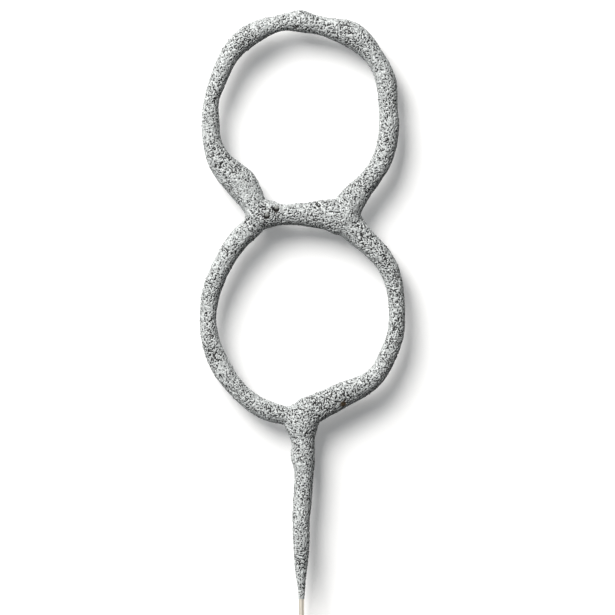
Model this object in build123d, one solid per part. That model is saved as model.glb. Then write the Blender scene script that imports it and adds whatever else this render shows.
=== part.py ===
from build123d import *

import os
from math import cos, radians, sin, tan

# A cake sparkler in the shape of the figure 8: one steel wire bent in a single stroke, dipped twice.
# Millimetres. +Z runs up the stem, the figure lies in the XZ plane and its front faces -Y.
# The origin is on the wire's axis where the coat ends, so the bare wire below it goes into the cake.

# Wire
WIRE_DIAMETER = 1.2
BARE_LENGTH = 40.0
TAIL_LENGTH = 4.3
TAIL_SPLAY = 0.2
STRAND_GAP = 0.1
STEM_LEAN = 0.7
STEM_BEND_HEIGHT = 1.0
BEND_SHARE = 0.45

# Figure
STEM_LENGTH = 39.5
FORK_HEIGHT = 4.7
FORK_BEND = 1.2
TAIL_SWING = 1.3
LOWER_LOOP_DROP = 2.2
LOWER_LOOP_RADIUS = 21.0
UPPER_LOOP_RADIUS = 20.5
WAIST_FLATTENING = 0.9
WAIST_BAR_LENGTH = 12.0
KNEE_REACH = 4.0
KNEE_RISE = 2.0

# First dip: a thin even film on the wire, thinner still at its lower end
FIRST_DIP_COVER = 0.35
FILM_END_COVER = 0.13
FILM_TAPER_LENGTH = 8.0

# Second dip: the thick coat, round in section until it is thicker than ROUND_COVER
COAT_START = 2.4
ROUND_COVER = 1.15
BULGE_SHARE = 0.5

# Webs where the branches meet, with the rounded end that each gives to the bar or the stem
WEB_SETBACK = 3.1
LEFT_WEB_RADIUS = 3.4
RIGHT_WEB_RADIUS = 3.9
RIGHT_WEB_DROP = 0.8
FORK_WEB_RADIUS = 3.9
WEB_CORE_SHARE = 0.8
BULB_ANGLES = [0, 35, 60, 75]

# Burst bubbles in the front of the waist: distance in from the bar's left end, height over the bar
BUBBLES = [(0.5, 1.2), (-1.6, -0.45)]
BUBBLE_RADIUS = 0.75
BUBBLE_DEPTH = 0.4

# Iron filings on the skin of the coat
FILING_LENGTH = 0.8
FILING_WIDTH = 0.4
FILING_THICKNESS = 0.2
FILING_SEAT_GAP = 0.03
FILINGS_PER_STATION = 3
GOLDEN_ANGLE = 137.5

# Angles of the cuts across the coat that part the loops from the waist and the stem
UPPER_CUTS = (-50, 232)
LOWER_LEFT_CUTS = (130, 249)
LOWER_RIGHT_CUTS = (-69, 50)
CUT_STEP = 30

# Stations of the coat round each loop: angle, bend of the wire in or out of the loop's own
# circle, and the cover over the first dip on the loop's inside and outside.
UPPER_STATIONS = [
    (-45, -0.2, 1.45, 1.45),
    (-30, -0.5, 1.25, 1.4),
    (-15, -0.9, 1.3, 1.3),
    (0, -1.1, 1.4, 1.1),
    (15, -0.8, 1.35, 1.2),
    (30, -0.1, 1.1, 1.4),
    (45, 0.4, 1.3, 1.5),
    (60, 0.5, 1.8, 2.1),
    (75, 0.4, 1.55, 0.85),
    (90, 0.5, 1.45, 1.7),
    (105, 0.7, 0.85, 0.95),
    (120, 0.7, 1.35, 1.6),
    (135, 0.4, 1.15, 1.45),
    (150, -0.1, 1.15, 0.95),
    (165, -0.4, 0.85, 0.75),
    (180, -0.4, 1.05, 0.95),
    (195, -0.2, 1.05, 1.2),
    (210, 0.0, 2.15, 1.6),
    (225, 0.2, 3.55, 1.55),
]
LOWER_RIGHT_STATIONS = [
    (-75, -0.1, 2.55, 1.5),
    (-60, -0.6, 2.2, 1.4),
    (-45, -0.1, 1.2, 1.4),
    (-30, 0.1, 1.0, 1.1),
    (-15, 0.1, 0.95, 1.0),
    (0, 0.0, 0.85, 0.9),
    (15, 0.3, 0.95, 0.95),
    (30, 0.6, 1.25, 1.35),
    (45, 0.4, 1.55, 1.55),
]
LOWER_LEFT_STATIONS = [
    (135, 0.2, 1.45, 1.25),
    (150, -0.5, 1.25, 1.1),
    (165, -0.6, 1.15, 1.1),
    (180, -0.4, 0.95, 0.85),
    (195, -0.2, 1.05, 1.05),
    (210, 0.1, 1.3, 1.25),
    (225, 0.5, 1.05, 1.15),
    (240, 1.2, 1.1, 1.1),
    (255, 1.5, 1.2, 1.35),
]
# Halfway from each loop to its web or the fork: cover on the loop's inside and outside.
UPPER_RIGHT_FLARE = (2.6, 1.55)
UPPER_LEFT_FLARE = (2.9, 1.4)
LOWER_RIGHT_FLARE = (2.0, 1.9)
LOWER_LEFT_FLARE = (1.7, 1.2)
FORK_RIGHT_FLARE = (3.1, 1.5)
# At the fork itself, in the same way.
FORK_COVER = (2.0, 1.6)

# Along the waist bar: place as a share of its half length, cover above and below the first dip.
BAR_STATIONS = [
    (-1.0, 1.9, 1.75),
    (-0.7, 1.35, 1.45),
    (-0.3, 1.45, 1.45),
    (0.1, 1.65, 1.65),
    (0.5, 2.05, 2.05),
    (1.0, 2.5, 2.65),
]
# Up the stem to the end of the wire's tail, as shares of that length, and past the tail to the
# fork in the same way: share, cover on the left and right of the first dip.
STEM_STATIONS = [
    (0.0, 0.12, 0.08),
    (0.05, 0.28, 0.06),
    (0.1, 0.51, 0.13),
    (0.17, 0.73, 0.29),
    (0.3, 1.0, 0.6),
    (0.45, 1.34, 0.56),
    (0.6, 1.42, 0.68),
    (0.73, 1.28, 1.02),
    (0.86, 1.17, 1.13),
    (0.94, 1.39, 1.31),
]
TAIL_STATIONS = [
    (0.0, 1.96, 1.34),
    (0.15, 2.09, 1.36),
    (0.45, 1.95, 1.3),
]

WIRE_RADIUS = WIRE_DIAMETER / 2
FILM_RADIUS = WIRE_RADIUS + FIRST_DIP_COVER
STRAND_OFFSET = WIRE_RADIUS + STRAND_GAP / 2
TAIL_TOP = STEM_LENGTH - FORK_HEIGHT
TAIL_END = TAIL_TOP - TAIL_LENGTH
LOWER_CENTRE = STEM_LENGTH + LOWER_LOOP_DROP + LOWER_LOOP_RADIUS
WAIST_HEIGHT = LOWER_CENTRE + LOWER_LOOP_RADIUS + WAIST_FLATTENING
UPPER_CENTRE = WAIST_HEIGHT + WAIST_FLATTENING + UPPER_LOOP_RADIUS
BAR_END = WAIST_BAR_LENGTH / 2

FORK = Vector(0, 0, STEM_LENGTH)
LEFT_WEB = Vector(-BAR_END - WEB_SETBACK, 0, WAIST_HEIGHT)
RIGHT_WEB = Vector(BAR_END + WEB_SETBACK, 0, WAIST_HEIGHT - RIGHT_WEB_DROP)


def polar(centre, reach, angle):
    """A point of the figure's plane, by its reach from a loop's centre and its angle."""
    return Vector(reach * cos(radians(angle)), 0, centre + reach * sin(radians(angle)))


def loop_stations(centre, radius, table):
    """The wire's point and the two covers at each station of a loop."""
    return [(polar(centre, radius + bend, angle), inner, outer) for angle, bend, inner, outer in table]


UPPER_LOOP = loop_stations(UPPER_CENTRE, UPPER_LOOP_RADIUS, UPPER_STATIONS)
LOWER_RIGHT = loop_stations(LOWER_CENTRE, LOWER_LOOP_RADIUS, LOWER_RIGHT_STATIONS)
LOWER_LEFT = loop_stations(LOWER_CENTRE, LOWER_LOOP_RADIUS, LOWER_LEFT_STATIONS)


def stem_place(height):
    """How far the leaning stem has gone to the right at a height."""
    return STEM_LEAN * (height - STEM_BEND_HEIGHT) / (TAIL_TOP - STEM_BEND_HEIGHT)


def film_radius(height):
    """Outside radius of the first dip on the stem."""
    share = min(height / FILM_TAPER_LENGTH, 1)
    return WIRE_RADIUS + FILM_END_COVER + (FIRST_DIP_COVER - FILM_END_COVER) * share


def knee(side, rise):
    """The bend between the waist bar and a loop: side is 1 on the right, rise is 1 for the upper loop."""
    return Vector(side * (BAR_END + KNEE_REACH), 0, WAIST_HEIGHT + rise * KNEE_RISE)


def bar_strand(depth):
    """The two ends of one strand of the waist bar, from right to left."""
    return [Vector(BAR_END, depth, WAIST_HEIGHT), Vector(-BAR_END, depth, WAIST_HEIGHT)]


def wire_route(start, end):
    """The wire in one stroke: up the stem, twice through the waist, and down to the tail's end height."""
    spacing = WIRE_DIAMETER + STRAND_GAP
    stem = [start, Vector(STEM_LEAN, 0, TAIL_TOP), Vector(STEM_LEAN + FORK_BEND, 0, STEM_LENGTH)]
    tail = [
        Vector(STEM_LEAN - spacing - TAIL_SWING, 0, STEM_LENGTH),
        Vector(STEM_LEAN - spacing, 0, TAIL_TOP),
        Vector(stem_place(end) - spacing - TAIL_SPLAY, 0, end),
    ]
    rising = [point for point, _, _ in LOWER_RIGHT] + [knee(1, -1)] + bar_strand(-STRAND_OFFSET)
    over = [knee(-1, 1)] + [point for point, _, _ in UPPER_LOOP[::-1]] + [knee(1, 1)]
    falling = bar_strand(STRAND_OFFSET) + [knee(-1, -1)] + [point for point, _, _ in LOWER_LEFT]
    return stem + rising + over + falling + tail


def bend_radius(before, corner, after, reach):
    """The radius of a bend that starts and ends at a reach from its corner."""
    return reach / tan(radians((corner - before).get_angle(after - corner) / 2))


def bend_radii(route):
    """For each corner, the radius of a bend that takes up a share of the shorter run next to it."""
    radii = []
    for before, corner, after in zip(route, route[1:], route[2:]):
        run = min((corner - before).length, (after - corner).length)
        radii.append(bend_radius(before, corner, after, BEND_SHARE * run))
    return radii


def tube(route, radii, radius):
    path = FilletPolyline(*route, radius=radii)
    return sweep(Plane(origin=path @ 0, z_dir=path % 0) * Circle(radius), path=path)


FILM_END = Vector(stem_place(0), 0, 0)
FILM_TAPER_TOP = Vector(stem_place(FILM_TAPER_LENGTH), 0, FILM_TAPER_LENGTH)
FILM_ROUTE = wire_route(FILM_TAPER_TOP, TAIL_END - FIRST_DIP_COVER)
BENDS = bend_radii(FILM_ROUTE)


def make_wire():
    """The bare end is straight up to the seat, where the stem begins to lean."""
    print("tightest bend of the wire", round(min(BENDS), 2))
    bare_end = Vector(0, 0, -BARE_LENGTH)
    route = [bare_end] + wire_route(Vector(0, 0, STEM_BEND_HEIGHT), TAIL_END)
    lean = bend_radius(route[0], route[1], route[2], STEM_BEND_HEIGHT)
    return tube(route, [lean] + BENDS, WIRE_RADIUS)


def make_film():
    """The first dip as a solid: two tubes that meet at the top of the figure, and the stem's taper."""
    top = max(range(len(FILM_ROUTE)), key=lambda i: FILM_ROUTE[i].Z)
    meeting = (FILM_ROUTE[top] + FILM_ROUTE[top + 1]) / 2
    rising = tube(FILM_ROUTE[: top + 1] + [meeting], BENDS[:top], FILM_RADIUS)
    falling = tube([meeting] + FILM_ROUTE[top + 1 :], BENDS[top:], FILM_RADIUS)
    along = FILM_TAPER_TOP - FILM_END
    taper = Pos(0, 0, along.length / 2) * Cone(film_radius(0), FILM_RADIUS, along.length)
    return rising + falling + Plane(origin=FILM_END, z_dir=along) * taper


def sections(stations):
    """An ellipse square to the wire at each station, with its plane and half sizes."""
    points = [point for point, _, _ in stations]
    before = [points[0]] + points[:-1]
    after = points[1:] + [points[-1]]
    result = []
    for (point, left, right), start, end in zip(stations, before, after):
        along = (end - start).normalized()
        across = Vector(along.Z, 0, -along.X)
        film = film_radius(point.Z)
        cover = (left + right) / 2
        flattening = max(cover - ROUND_COVER, 0) * (1 - BULGE_SHARE)
        plane = Plane(origin=point + across * (right - left) / 2, x_dir=across, z_dir=along)
        result.append((plane, film + cover, film + cover - flattening))
    return result


def branch(stations):
    """A length of coat lofted through its sections."""
    return loft([plane * Ellipse(width, depth) for plane, width, depth in sections(stations)])


def web_end(web, radius, flare, neighbour):
    """Two stations that carry a branch from its last loop station into the middle of a web."""
    core = radius * WEB_CORE_SHARE - FILM_RADIUS
    return [(web, core, core), ((web + neighbour[0]) / 2, *flare)]


def bulb(centre, direction, radius):
    """Stations of a rounded end, from its widest place to its blunt tip, like the chords of a circle."""
    stations = []
    for angle in BULB_ANGLES:
        cover = radius * cos(radians(angle)) - FILM_RADIUS
        stations.append((centre + direction * radius * sin(radians(angle)), cover, cover))
    return stations


def bar_stations():
    return [(Vector(share * BAR_END, 0, WAIST_HEIGHT), above, below) for share, above, below in BAR_STATIONS]


def stem_stations():
    stations = []
    for low, high, table in [(COAT_START, TAIL_END, STEM_STATIONS), (TAIL_END, STEM_LENGTH, TAIL_STATIONS)]:
        for share, left, right in table:
            height = low + share * (high - low)
            stations.append((Vector(stem_place(height), 0, height), left, right))
    return stations


def make_coat():
    """The second dip in one mass: three arcs of the loops, the bar and the stem."""
    fork_core = [(FORK, *FORK_COVER)]
    fork_start = fork_core + [((FORK + LOWER_RIGHT[0][0]) / 2, *FORK_RIGHT_FLARE)]
    upper_start = web_end(RIGHT_WEB, RIGHT_WEB_RADIUS, UPPER_RIGHT_FLARE, UPPER_LOOP[0])
    upper_end = web_end(LEFT_WEB, LEFT_WEB_RADIUS, UPPER_LEFT_FLARE, UPPER_LOOP[-1])[::-1]
    left_start = web_end(LEFT_WEB, LEFT_WEB_RADIUS, LOWER_LEFT_FLARE, LOWER_LEFT[0])
    right_end = web_end(RIGHT_WEB, RIGHT_WEB_RADIUS, LOWER_RIGHT_FLARE, LOWER_RIGHT[-1])[::-1]
    left_bulb = bulb(LEFT_WEB, Vector(-1, 0, 0), LEFT_WEB_RADIUS)[::-1]
    right_bulb = bulb(RIGHT_WEB, Vector(1, 0, 0), RIGHT_WEB_RADIUS)
    coat = branch(upper_start + UPPER_LOOP + upper_end)
    coat += branch(left_start + LOWER_LEFT + fork_core)
    coat += branch(fork_start + LOWER_RIGHT + right_end)
    coat += branch(left_bulb + bar_stations() + right_bulb)
    coat += branch(stem_stations() + bulb(FORK, Vector(0, 0, 1), FORK_WEB_RADIUS))
    return coat


def sector(centre, radius, cuts):
    """A thick wedge of the figure's plane round a loop's centre, between two cuts."""
    reach = 2 * radius
    corners = [Vector(0, 0, centre)]
    steps = round((cuts[1] - cuts[0]) / CUT_STEP)
    for i in range(steps + 1):
        corners.append(polar(centre, reach, cuts[0] + (cuts[1] - cuts[0]) * i / steps))
    return extrude(make_face(Polyline(*corners, close=True)), amount=radius, dir=(0, 1, 0), both=True)


def cut_coat(coat):
    """The coat in five lengths: the upper loop, the lower loop's two arms, the waist and the stem."""
    upper = sector(UPPER_CENTRE, UPPER_LOOP_RADIUS, UPPER_CUTS)
    left = sector(LOWER_CENTRE, LOWER_LOOP_RADIUS, LOWER_LEFT_CUTS)
    right = sector(LOWER_CENTRE, LOWER_LOOP_RADIUS, LOWER_RIGHT_CUTS)
    stem, waist = (coat - upper - left - right).solids().sort_by(Axis.Z)
    return {
        "upper_loop_coat": coat & upper,
        "lower_left_coat": coat & left,
        "lower_right_coat": coat & right,
        "waist_coat": waist,
        "stem_coat": stem,
    }


def bubbles(waist):
    """Balls that dish the front of the waist where gas burst out of the drying coat."""
    balls = []
    for inset, rise in BUBBLES:
        sight = Axis((-BAR_END + inset, 0, WAIST_HEIGHT + rise), (0, -1, 0))
        skin = max(waist.find_intersection_points(sight), key=lambda hit: -hit[0].Y)[0]
        balls.append(Pos(skin) * Pos(0, BUBBLE_DEPTH - BUBBLE_RADIUS, 0) * Sphere(BUBBLE_RADIUS))
    return balls


def filings(stations):
    """Flakes that lie on the skin, a few at each inner station, turned by the golden angle."""
    flakes = []
    turn = 0
    for plane, width, depth in sections(stations)[1:-1]:
        for _ in range(FILINGS_PER_STATION):
            turn += GOLDEN_ANGLE
            side = Vector(width * cos(radians(turn)), depth * sin(radians(turn)))
            out = Vector(depth * cos(radians(turn)), width * sin(radians(turn)))
            skin = Plane(
                origin=plane.from_local_coords(side),
                x_dir=plane.z_dir,
                z_dir=plane.from_local_coords(out) - plane.origin,
            )
            flake = Box(FILING_LENGTH, FILING_WIDTH, FILING_THICKNESS)
            lift = FILING_SEAT_GAP + FILING_THICKNESS / 2
            flakes.append(skin * Rot(0, 0, turn) * Pos(0, 0, lift) * flake)
    return flakes


wire = make_wire()
film = make_film()
coat = cut_coat(make_coat())
flakes = []
for stations in [UPPER_LOOP, LOWER_LEFT, LOWER_RIGHT, bar_stations(), stem_stations()]:
    flakes += filings(stations)

parts = {"core_wire": wire, "first_dip_coat": film - wire, "iron_filings": Compound(flakes)}
for name, length in coat.items():
    parts[name] = length - film
parts["waist_coat"] -= bubbles(coat["waist_coat"])

os.makedirs("parts", exist_ok=True)
for name, part in parts.items():
    export_step(part, f"parts/{name}.step")
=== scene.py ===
import math
import random

import bmesh
import bpy
from mathutils import Matrix, Vector


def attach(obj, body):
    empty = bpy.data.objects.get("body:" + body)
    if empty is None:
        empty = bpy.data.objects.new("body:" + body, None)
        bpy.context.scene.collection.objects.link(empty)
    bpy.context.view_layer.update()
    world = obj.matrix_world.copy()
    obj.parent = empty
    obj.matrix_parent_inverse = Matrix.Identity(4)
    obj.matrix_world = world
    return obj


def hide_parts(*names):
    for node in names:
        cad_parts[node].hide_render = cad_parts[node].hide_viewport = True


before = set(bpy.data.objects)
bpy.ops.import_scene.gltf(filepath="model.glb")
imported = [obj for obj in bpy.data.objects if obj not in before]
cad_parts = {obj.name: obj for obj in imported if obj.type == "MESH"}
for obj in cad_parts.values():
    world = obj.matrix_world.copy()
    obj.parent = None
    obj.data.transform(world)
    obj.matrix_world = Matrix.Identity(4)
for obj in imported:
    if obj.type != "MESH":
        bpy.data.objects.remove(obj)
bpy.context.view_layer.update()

MM = 0.001

# The figure, as its solids have it. LOOP_RADIUS lies between the radii of its two loops.
LOWER_CENTRE = 62.7 * MM
UPPER_CENTRE = 106.0 * MM
LOOP_RADIUS = 20.7 * MM
COAT_START = 2.4 * MM
COAT_NODES = ["upper_loop_coat", "waist_coat", "lower_left_coat", "lower_right_coat", "stem_coat"]
# Angles of the cuts across the coat, round the centre of each loop
UPPER_CUTS = (-50, 232)
LOWER_LEFT_CUTS = (130, 249)
LOWER_RIGHT_CUTS = (-69, 50)
CUT_REACH = 7 * MM
CUT_TOLERANCE = 0.0005 * MM
MERGE_DISTANCE = 0.001 * MM

# Melting of the solids into one mass
VOXEL = 0.15 * MM
MELT_ROUNDS = 30
MELT_FACTOR = 0.5

# Skin of the coat. Noise lies about NOISE_MIDDLE, and a grain meets the level skin at GRAIN_EDGE of its size.
NOISE_MIDDLE = 0.5
GRAIN_SIZE = 0.34 * MM
GRAIN_HEIGHT = 0.16 * MM
GRAIN_EDGE = 0.45
LEAST_GRAIN = 0.5
GRAIN_WARP = 0.25 * MM
WARP_SIZE = 0.4 * MM
PIT_SIZE = 0.325 * MM
PIT_DEPTH = 0.2 * MM
PIT_EDGE = (0.37, 0.46)
PIT_PATCH = 6 * MM
PATCH_SHARE = 0.3
LUMP_SIZE = 2.4 * MM
LUMP_HEIGHT = 0.3 * MM
# The skin is LEAST_SKIN of its full height at the lower end, and full from SKIN_FADE upwards
LEAST_SKIN = 0.35
SKIN_FADE = 9 * MM

# Marks on the figure's front, which fade out over the last FRONT_DEPTH before its middle plane.
# Each has a core, as a share of its radius, inside which it is at full strength.
FRONT_DEPTH = 1.0 * MM
# Burst bubbles in the waist: across and up, in the figure's plane
BUBBLES = [(-5.5 * MM, 85.8 * MM), (-7.6 * MM, 84.15 * MM)]
BUBBLE_RADIUS = 0.72 * MM
BUBBLE_CORE = 0.8
CAP_RADIUS = 0.46 * MM
CAP_CORE = 0.75
CAP_LIFT = 0.3 * MM
CAP_RISE = 0.2 * MM
CAP_CALM = 0.8
MOUTH_DEPTH = 0.5 * MM
# A rusted filing low on the lower loop's right arm
RUST_SPOT = (9.3 * MM, 43.1 * MM)
RUST_RADIUS = 0.85 * MM
RUST_CORE = 0.5

# Iron filings. None sits on a face over LARGEST_SEAT, which keeps them off the flat ends of the lengths.
FILING_COUNT = 1500
FILING_SEED = 8
FILING_SIZES = (0.1 * MM, 0.22 * MM)
FILING_STRETCH = 1.6
FILING_SINK = 0.2
CORNER_PULL = (0.6, 1.15)
LARGEST_SEAT = 4 * VOXEL * VOXEL

# Colours of the dried mix, and the shares of each grain's own shade and of fine noise in its grey
GREY_STOPS = [
    (0.0, (0.16, 0.165, 0.165, 1)),
    (0.5, (0.44, 0.458, 0.458, 1)),
    (1.0, (0.84, 0.87, 0.866, 1)),
]
SHADE_SHARE = 0.6
FINE_SHARE = 0.4
FINE_SIZE = 0.16 * MM
GREY_LIFT = 0.1
# The pits' near-black colours: partly the mix's real dark specks, partly painted shade in the pits
PIT_SPECK_AND_SHADE_COLOURS = [(0.001, 0.001, 0.001, 1), (0.02, 0.02, 0.02, 1)]
CAP_COLOUR = (0.33, 0.335, 0.32, 1)
# Painted shade in the hollow mouths of the burst bubbles
MOUTH_SHADE_COLOUR = (0.02, 0.018, 0.015, 1)
RUST_COLOURS = [(0.008, 0.006, 0.004, 1), (0.22, 0.14, 0.06, 1)]
BUMP_STRENGTH = 0.8
BUMP_DISTANCE = 0.12 * MM
BUMP_SHADE = 0.6

# Iron and steel. WIRE_LINES is how fine the wire's lines are, per metre across it and along it.
IRON_COLOURS = [(0.02, 0.02, 0.022, 1), (0.14, 0.13, 0.125, 1)]
IRON_CLOUD = 0.8 * MM
WIRE_COLOURS = [(0.4, 0.36, 0.3, 1), (0.82, 0.77, 0.69, 1)]
WIRE_LINES = (9000, 9000, 120)
WIRE_ROUGHNESS = 0.2
LINE_ROUGHNESS = 0.25

# The photograph's frame: its middle and width in the figure's plane. LENS and SENSOR are in millimetres.
VIEW_MIDDLE = (1.32 * MM, 64.13 * MM)
VIEW_WIDTH = 135.3 * MM
LENS = 200
SENSOR = 36
CLIP_START = 10 * MM

# Stage: its sheets' width, the card's distance behind the figure's middle plane and the floor's height
SHEET_SIZE = 4.0
CARD_DEPTH = 5.4 * MM
FLOOR_HEIGHT = -40.0 * MM
# The sky is lit on the upper left and shaded on the lower right
SKY_COLOURS = [(0.2, 0.207, 0.21, 1), (0.006, 0.005, 0.004, 1)]
SKY_SPAN = (-0.3, 1.0)


class Value:
    """An output in a node tree, such as a number or a colour. Arithmetic on numbers adds Math nodes."""

    def __init__(self, tree, socket):
        self.tree = tree
        self.socket = socket

    def combine(self, operation, first, second):
        node = self.tree.add("ShaderNodeMath", {"operation": operation}, {0: first, 1: second})
        return node["Value"]

    def __add__(self, other):
        return self.combine("ADD", self, other)

    def __radd__(self, other):
        return self.combine("ADD", other, self)

    def __sub__(self, other):
        return self.combine("SUBTRACT", self, other)

    def __rsub__(self, other):
        return self.combine("SUBTRACT", other, self)

    def __mul__(self, other):
        return self.combine("MULTIPLY", self, other)

    def __rmul__(self, other):
        return self.combine("MULTIPLY", other, self)


class Tree:
    """A node tree that is written as expressions."""

    def __init__(self, nodes):
        self.nodes = nodes

    def add(self, kind, settings, sockets):
        """A node of a kind, with its settings and its sockets' values or links, as its outputs by name."""
        node = self.nodes.nodes.new(kind)
        for name, setting in settings.items():
            if name == "stops":
                self.set_stops(node.color_ramp.elements, setting)
            else:
                setattr(node, name, setting)
        for name, value in sockets.items():
            self.give(node.inputs[name], value)
        return {output.name: Value(self, output) for output in node.outputs if output.enabled}

    def give(self, socket, value):
        """Links a value to a socket, or sets the socket to a constant."""
        if isinstance(value, Value):
            self.nodes.links.new(value.socket, socket)
        else:
            socket.default_value = value

    def set_stops(self, elements, stops):
        while len(elements) < len(stops):
            elements.new(1)
        for element, (place, colour) in zip(elements, stops):
            element.position = place
            element.color = colour

    def smooth(self, value, low, high):
        """A smooth step of a value from 0 at low to 1 at high."""
        sockets = {"Value": value, "From Min": low, "From Max": high}
        return self.add("ShaderNodeMapRange", {"interpolation_type": "SMOOTHSTEP"}, sockets)["Result"]

    def mix(self, factor, first, second):
        """A colour between two others."""
        return self.add("ShaderNodeMix", {"data_type": "RGBA"}, {0: factor, 6: first, 7: second})["Result"]

    def noise(self, place, size, detail):
        """Cloudy noise of a size, as its number Fac and its Color."""
        return self.add("ShaderNodeTexNoise", {}, {"Vector": place, "Scale": 1 / size, "Detail": detail})

    def feed(self, node, **values):
        """Gives values to a node's sockets, whose names are written with underscores."""
        for name, value in values.items():
            self.give(node.inputs[name.replace("_", " ")], value)


def warped(tree, rest):
    """Points moved about a little, so that the grains have uneven outlines."""
    drift = tree.noise(rest, WARP_SIZE, detail=1.0)["Color"]
    return tree.add(
        "ShaderNodeVectorMath",
        {"operation": "MULTIPLY_ADD"},
        {0: drift, 1: (GRAIN_WARP, GRAIN_WARP, GRAIN_WARP), 2: rest},
    )["Vector"]


def grains(tree, place):
    """The grain at a point: how far it is from the grain's middle, and two numbers of the grain's own."""
    sockets = {"Vector": place, "Scale": 1 / GRAIN_SIZE}
    cell = tree.add("ShaderNodeTexVoronoi", {"voronoi_dimensions": "3D", "feature": "F1"}, sockets)
    chance = tree.add("ShaderNodeSeparateXYZ", {}, {"Vector": cell["Color"]})
    return cell["Distance"], chance["X"], chance["Y"]


def pits(tree, place):
    """1 in the pits and cracks of the skin, 0 on the ground between them."""
    speckle = tree.noise(place, PIT_SIZE, detail=0.0)["Fac"]
    patch = tree.noise(place, PIT_PATCH, detail=1.0)["Fac"]
    return 1 - tree.smooth(speckle + PATCH_SHARE * (patch - NOISE_MIDDLE), *PIT_EDGE)


def front_spot(tree, rest, across, up, radius, core):
    """A round mark on the figure's front: 1 within its core, 0 past its radius."""
    place = tree.add("ShaderNodeSeparateXYZ", {}, {"Vector": rest})
    flat = tree.add("ShaderNodeCombineXYZ", {}, {"X": place["X"], "Z": place["Z"]})["Vector"]
    ends = {0: flat, 1: (across, 0, up)}
    reach = tree.add("ShaderNodeVectorMath", {"operation": "DISTANCE"}, ends)["Value"]
    front = 1 - tree.smooth(place["Y"], -FRONT_DEPTH, 0.0)
    return front * (1 - tree.smooth(reach, core * radius, radius))


def bubble_marks(tree, rest):
    """The burst bubbles at a point of the skin: 1 on their caps, and 1 in the crescent mouths below them."""
    caps = 0.0
    mouths = 0.0
    for across, up in BUBBLES:
        hole = front_spot(tree, rest, across, up, BUBBLE_RADIUS, BUBBLE_CORE)
        cap = front_spot(tree, rest, across, up + CAP_LIFT, CAP_RADIUS, CAP_CORE)
        caps = cap + caps
        mouths = hole * (1 - cap) + mouths
    return caps, mouths


def skin_nodes():
    """Geometry nodes that raise the grains, pits, lumps and burst bubbles of the dried mix."""
    group = bpy.data.node_groups.new("dried_mix_skin", "GeometryNodeTree")
    group.interface.new_socket("Geometry", in_out="INPUT", socket_type="NodeSocketGeometry")
    group.interface.new_socket("Geometry", in_out="OUTPUT", socket_type="NodeSocketGeometry")
    tree = Tree(group)
    start = tree.add("NodeGroupInput", {}, {})["Geometry"]
    rest = tree.add("GeometryNodeInputPosition", {}, {})["Position"]
    normal = tree.add("GeometryNodeInputNormal", {}, {})["Normal"]
    kept = tree.add(
        "GeometryNodeStoreNamedAttribute",
        {"data_type": "FLOAT_VECTOR", "domain": "POINT"},
        {"Geometry": start, "Name": "rest", "Value": rest},
    )["Geometry"]
    distance, size, _ = grains(tree, warped(tree, rest))
    grain = (GRAIN_EDGE - distance) * (LEAST_GRAIN + size) * GRAIN_HEIGHT
    pit = pits(tree, rest) * PIT_DEPTH
    lump = (tree.noise(rest, LUMP_SIZE, detail=2.0)["Fac"] - NOISE_MIDDLE) * LUMP_HEIGHT
    place = tree.add("ShaderNodeSeparateXYZ", {}, {"Vector": rest})
    fade = LEAST_SKIN + (1 - LEAST_SKIN) * tree.smooth(place["Z"], 0.0, SKIN_FADE)
    cap, mouth = bubble_marks(tree, rest)
    calm = 1 - CAP_CALM * cap
    height = (grain - pit) * fade * calm + lump * fade + cap * CAP_RISE - mouth * MOUTH_DEPTH
    offset = tree.add("ShaderNodeVectorMath", {"operation": "SCALE"}, {0: normal, "Scale": height})["Vector"]
    raised = tree.add("GeometryNodeSetPosition", {}, {"Geometry": kept, "Offset": offset})["Geometry"]
    tree.add("NodeGroupOutput", {}, {"Geometry": raised})
    return group


def new_object(name, shape):
    """An object from a bmesh, which is freed."""
    mesh = bpy.data.meshes.new(name)
    shape.to_mesh(mesh)
    shape.free()
    made = bpy.data.objects.new(name, mesh)
    bpy.context.scene.collection.objects.link(made)
    return made


def joined_solids(nodes):
    """One mesh object of copies of some solids."""
    solids = bmesh.new()
    for node in nodes:
        solids.from_mesh(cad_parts[node].data)
    bmesh.ops.remove_doubles(solids, verts=solids.verts, dist=MERGE_DISTANCE)
    return new_object("coat_mass", solids)


def baked(source):
    """A bmesh of an object with its modifiers applied. The object is removed."""
    bpy.context.view_layer.update()
    mesh = bpy.data.meshes.new_from_object(source.evaluated_get(bpy.context.evaluated_depsgraph_get()))
    shape = bmesh.new()
    shape.from_mesh(mesh)
    bpy.data.meshes.remove(mesh)
    bpy.data.objects.remove(source)
    return shape


def dried_mass():
    """The dipped figure as one fine mesh: the solids melted together, with the skin raised on them."""
    mass = joined_solids(COAT_NODES + ["first_dip_coat", "core_wire"])
    remesh = mass.modifiers.new("remesh", "REMESH")
    remesh.mode = "VOXEL"
    remesh.voxel_size = VOXEL
    melt = mass.modifiers.new("melt", "SMOOTH")
    melt.factor = MELT_FACTOR
    melt.iterations = MELT_ROUNDS
    skin = mass.modifiers.new("skin", "NODES")
    skin.node_group = skin_nodes()
    return baked(mass)


def angle_about(point, centre):
    """Angle of a point round a loop's centre, from -90 to 270 degrees."""
    angle = math.degrees(math.atan2(point.z - centre, point.x))
    return angle + 360 if angle < -90 else angle


def length_of_coat(point):
    """The name of the length of coat that a point belongs to."""
    if point.z < COAT_START:
        return "first_dip_coat"
    if UPPER_CUTS[0] < angle_about(point, UPPER_CENTRE) < UPPER_CUTS[1]:
        return "upper_loop_coat"
    angle = angle_about(point, LOWER_CENTRE)
    if LOWER_LEFT_CUTS[0] < angle < LOWER_LEFT_CUTS[1]:
        return "lower_left_coat"
    if LOWER_RIGHT_CUTS[0] < angle < LOWER_RIGHT_CUTS[1]:
        return "lower_right_coat"
    return "waist_coat" if point.z > LOWER_CENTRE else "stem_coat"


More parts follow.
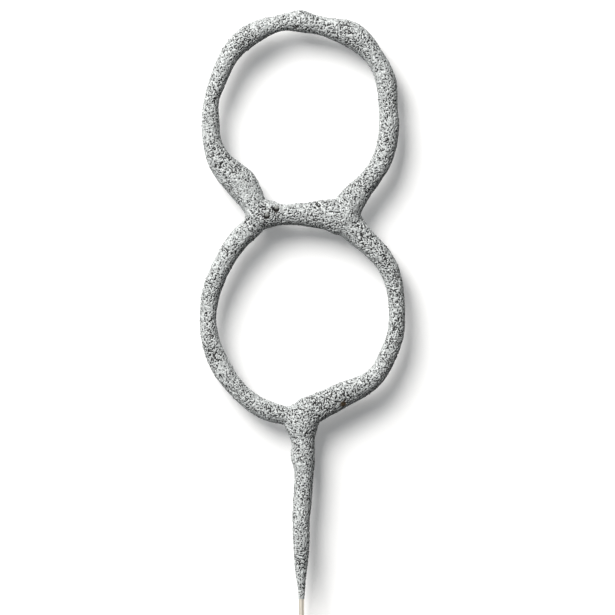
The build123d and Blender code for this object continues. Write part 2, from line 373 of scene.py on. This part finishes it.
def cut_planes():
    """A point and a normal of each cut: between the lengths, and at both ends of the film that shows."""
    cuts = [(UPPER_CENTRE, angle) for angle in UPPER_CUTS]
    cuts += [(LOWER_CENTRE, angle) for angle in LOWER_LEFT_CUTS + LOWER_RIGHT_CUTS]
    planes = []
    for centre, angle in cuts:
        along = Vector((math.cos(math.radians(angle)), 0, math.sin(math.radians(angle))))
        planes.append((Vector((0, 0, centre)) + along * LOOP_RADIUS, Vector((-along.z, 0, along.x))))
    for height in [COAT_START, 0]:
        planes.append((Vector((0, 0, height)), Vector((0, 0, 1))))
    return planes


def cut_mass(mass):
    """Cuts the fine mesh square across at each plane, and takes away what is below the film."""
    for middle, across in cut_planes():
        near = [face for face in mass.faces if (face.calc_center_median() - middle).length < CUT_REACH]
        geometry = set(near)
        for face in near:
            geometry.update(face.edges)
            geometry.update(face.verts)
        bmesh.ops.bisect_plane(
            mass, geom=list(geometry), dist=CUT_TOLERANCE, plane_co=middle, plane_no=across
        )
    bare = [face for face in mass.faces if face.calc_center_median().z < 0]
    bmesh.ops.delete(mass, geom=bare, context="FACES")


def coat_pieces(mass):
    """A closed piece for each length of the coat and for the film, split from the fine mesh."""
    whole = bpy.data.meshes.new("whole")
    mass.to_mesh(whole)
    names = [length_of_coat(face.calc_center_median()) for face in mass.faces]
    mass.free()
    pieces = {}
    for node in COAT_NODES + ["first_dip_coat"]:
        part = bmesh.new()
        part.from_mesh(whole)
        part.faces.ensure_lookup_table()
        others = [face for face, name in zip(part.faces, names) if name != node]
        bmesh.ops.delete(part, geom=others, context="FACES")
        for face in part.faces:
            face.smooth = True
        rim = [edge for edge in part.edges if edge.is_boundary]
        for edge in rim:
            edge.smooth = False
        bmesh.ops.holes_fill(part, edges=rim, sides=0)
        pieces[node] = new_object("dried_" + node, part)
    bpy.data.meshes.remove(whole)
    return pieces


def filing_shape():
    """A small angular shard: a coarse ball with its corners pulled in and out."""
    shard = bmesh.new()
    bmesh.ops.create_icosphere(shard, subdivisions=1, radius=1)
    chance = random.Random(FILING_SEED)
    for vertex in shard.verts:
        vertex.co *= chance.uniform(*CORNER_PULL)
    mesh = bpy.data.meshes.new("shard")
    shard.to_mesh(mesh)
    shard.free()
    return mesh


def iron_filings(pieces):
    """Shards of iron sunk in the skin, at random places of every length of the coat."""
    chance = random.Random(FILING_SEED)
    shard = filing_shape()
    corners = len(shard.vertices)
    seats = []
    for node in COAT_NODES:
        seats += [polygon for polygon in pieces[node].data.polygons if polygon.area < LARGEST_SEAT]
    heap = bmesh.new()
    for seat in chance.sample(seats, FILING_COUNT):
        heap.from_mesh(shard)
        heap.verts.ensure_lookup_table()
        sizes = [chance.uniform(*FILING_SIZES) for _ in range(3)]
        sizes[0] *= FILING_STRETCH
        turn = Matrix.Rotation(chance.uniform(0, math.tau), 4, "Z")
        lie = seat.normal.to_track_quat("Z", "Y").to_matrix().to_4x4()
        place = Matrix.Translation(Vector(seat.center) - Vector(seat.normal) * sizes[2] * FILING_SINK)
        bmesh.ops.transform(
            heap, matrix=place @ lie @ turn @ Matrix.Diagonal((*sizes, 1)), verts=heap.verts[-corners:]
        )
    bpy.data.meshes.remove(shard)
    return new_object("iron_shards", heap)


def finish_of(name, **constants):
    """A new material with what is the same all over it: its tree, its surface and the material."""
    material = bpy.data.materials.new(name)
    material.use_nodes = True
    tree = Tree(material.node_tree)
    surface = material.node_tree.nodes["Principled BSDF"]
    tree.feed(surface, **constants)
    return tree, surface, material


def dried_mix_finish():
    """Pale cool grey grains with dark pits between them, partly real specks and partly painted shade, painted
    shade in the bubbles' mouths, and brown where iron has begun to rust.
    """
    tree, surface, material = finish_of("dried_burning_mix", Metallic=0.0, Roughness=0.8)
    rest = tree.add("ShaderNodeAttribute", {"attribute_name": "rest"}, {})["Vector"]
    place = warped(tree, rest)
    _, speck, shade = grains(tree, place)
    fine = tree.noise(rest, FINE_SIZE, detail=2.0)["Fac"]
    tone = shade * SHADE_SHARE + fine * FINE_SHARE + GREY_LIFT
    grey = tree.add("ShaderNodeValToRGB", {"stops": GREY_STOPS}, {0: tone})["Color"]
    # Pits painted near black: partly the mix's real dark specks, partly painted shade in the pits
    speckled_and_shaded = tree.mix(pits(tree, rest), grey, tree.mix(speck, *PIT_SPECK_AND_SHADE_COLOURS))
    cap, mouth = bubble_marks(tree, rest)
    crusted = tree.mix(cap, speckled_and_shaded, CAP_COLOUR)
    # The bubbles' mouths painted near black: painted shade in their hollows
    hollow_shaded = tree.mix(mouth, crusted, MOUTH_SHADE_COLOUR)
    rust = front_spot(tree, place, *RUST_SPOT, RUST_RADIUS, RUST_CORE)
    tree.feed(surface, Base_Color=tree.mix(rust, hollow_shaded, tree.mix(shade, *RUST_COLOURS)))
    bump = {"Strength": BUMP_STRENGTH, "Distance": BUMP_DISTANCE, "Height": fine + shade * BUMP_SHADE}
    tree.feed(surface, Normal=tree.add("ShaderNodeBump", {}, bump)["Normal"])
    return material


def iron_finish():
    """Dark iron, a little shiny on its broken faces."""
    tree, surface, material = finish_of("iron_filings", Metallic=0.5, Roughness=0.6)
    place = tree.add("ShaderNodeTexCoord", {}, {})["Object"]
    cloud = tree.noise(place, IRON_CLOUD, detail=2.0)["Fac"]
    tree.feed(surface, Base_Color=tree.mix(cloud, *IRON_COLOURS))
    return material


def wire_finish():
    """Drawn steel wire: lines along its length and a faint brown cast."""
    tree, surface, material = finish_of("drawn_steel_wire", Metallic=1.0)
    place = tree.add("ShaderNodeTexCoord", {}, {})["Object"]
    stretched = tree.add("ShaderNodeMapping", {}, {"Vector": place, "Scale": WIRE_LINES})["Vector"]
    lines = tree.noise(stretched, size=1.0, detail=3.0)["Fac"]
    tree.feed(surface, Base_Color=tree.mix(lines, *WIRE_COLOURS))
    tree.feed(surface, Roughness=WIRE_ROUGHNESS + LINE_ROUGHNESS * lines)
    return material


def dress():
    """Every piece of the sparkler with its finish."""
    mass = dried_mass()
    cut_mass(mass)
    pieces = coat_pieces(mass)
    mix = dried_mix_finish()
    for node, piece in pieces.items():
        piece.data.materials.append(mix)
        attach(piece, "root")
        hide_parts(node)
    shards = iron_filings(pieces)
    shards.data.materials.append(iron_finish())
    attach(shards, "root")
    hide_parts("iron_filings")
    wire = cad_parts["core_wire"]
    wire.data.materials.clear()
    wire.data.materials.append(wire_finish())


def stage_sheet(name, centre, turn, finish):
    """A large square sheet of the stage, left out of the figure's diffuse light."""
    sheet = bmesh.new()
    bmesh.ops.create_grid(sheet, x_segments=1, y_segments=1, size=SHEET_SIZE / 2)
    bmesh.ops.transform(sheet, matrix=Matrix.Translation(centre) @ turn, verts=sheet.verts)
    made = new_object(name, sheet)
    made.data.materials.append(finish)
    made.visible_diffuse = False
    return made


def card_finish():
    """White paper that glows faintly and is clear from behind."""
    tree, surface, paper = finish_of(
        "white_card",
        Metallic=0.0,
        Roughness=1.0,
        Base_Color=(0.92, 0.92, 0.92, 1),
        Specular_IOR_Level=0.0,
        Emission_Color=(1, 1, 1, 1),
        Emission_Strength=0.13,
    )
    behind = tree.add("ShaderNodeNewGeometry", {}, {})["Backfacing"]
    clear = tree.add("ShaderNodeBsdfTransparent", {}, {})["BSDF"]
    sides = {0: behind, 1: Value(tree, surface.outputs["BSDF"]), 2: clear}
    sided = tree.add("ShaderNodeMixShader", {}, sides)["Shader"]
    tree.feed(paper.node_tree.nodes["Material Output"], Surface=sided)
    return paper


def stage():
    """A white card close behind the figure, which lets the back light through, and a pale floor below."""
    upright = Matrix.Rotation(math.pi / 2, 4, "X")
    card = stage_sheet("card", Vector((0, CARD_DEPTH, VIEW_MIDDLE[1])), upright, card_finish())
    card.visible_shadow = False
    _, _, ground = finish_of("pale_floor", Metallic=0.0, Roughness=0.9, Base_Color=(0.85, 0.85, 0.84, 1))
    stage_sheet("floor", Vector((0, 0, FLOOR_HEIGHT)), Matrix.Identity(4), ground)


def area_light(name, offset, size, power, colour):
    """A square soft light, placed from the middle of the view, which it faces."""
    lamp = bpy.data.lights.new(name, "AREA")
    lamp.size = size
    lamp.energy = power
    lamp.color = colour
    made = bpy.data.objects.new(name, lamp)
    made.location = Vector((0, 0, VIEW_MIDDLE[1])) + Vector(offset)
    made.rotation_euler = (-Vector(offset)).to_track_quat("-Z", "Y").to_euler()
    bpy.context.scene.collection.objects.link(made)


def sky():
    """A dim sky, lighter on the upper left."""
    world = bpy.data.worlds.new("studio")
    world.use_nodes = True
    tree = Tree(world.node_tree)
    toward = tree.add("ShaderNodeTexCoord", {}, {})["Generated"]
    side = tree.add("ShaderNodeSeparateXYZ", {}, {"Vector": toward})
    shaded = tree.smooth(side["X"] - side["Z"], *SKY_SPAN)
    tree.feed(world.node_tree.nodes["Background"], Color=tree.mix(shaded, *SKY_COLOURS), Strength=1.0)
    bpy.context.scene.world = world


def lights():
    """A warm key from the upper left, a cool fill from the front, a light behind and a dim sky."""
    area_light("key", offset=(-0.53, -0.85, 0.73), size=0.8, power=25.5, colour=(1.0, 0.985, 0.965))
    area_light("fill", offset=(-0.4, -1.1, 0.4), size=1.0, power=1.3, colour=(0.88, 0.95, 1.0))
    area_light("back", offset=(0.35, 0.95, 0.3), size=1.0, power=11.0, colour=(1.0, 1.0, 1.0))
    sky()
    bpy.context.scene.view_settings.view_transform = "Standard"


def camera():
    """A long lens square to the figure, with the photograph's framing."""
    lens = bpy.data.cameras.new("camera")
    lens.lens = LENS
    lens.sensor_width = SENSOR
    lens.clip_start = CLIP_START
    made = bpy.data.objects.new("camera", lens)
    made.location = (VIEW_MIDDLE[0], -VIEW_WIDTH * LENS / SENSOR, VIEW_MIDDLE[1])
    made.rotation_euler = (math.pi / 2, 0, 0)
    bpy.context.scene.collection.objects.link(made)
    bpy.context.scene.camera = made


dress()
stage()
lights()
camera()
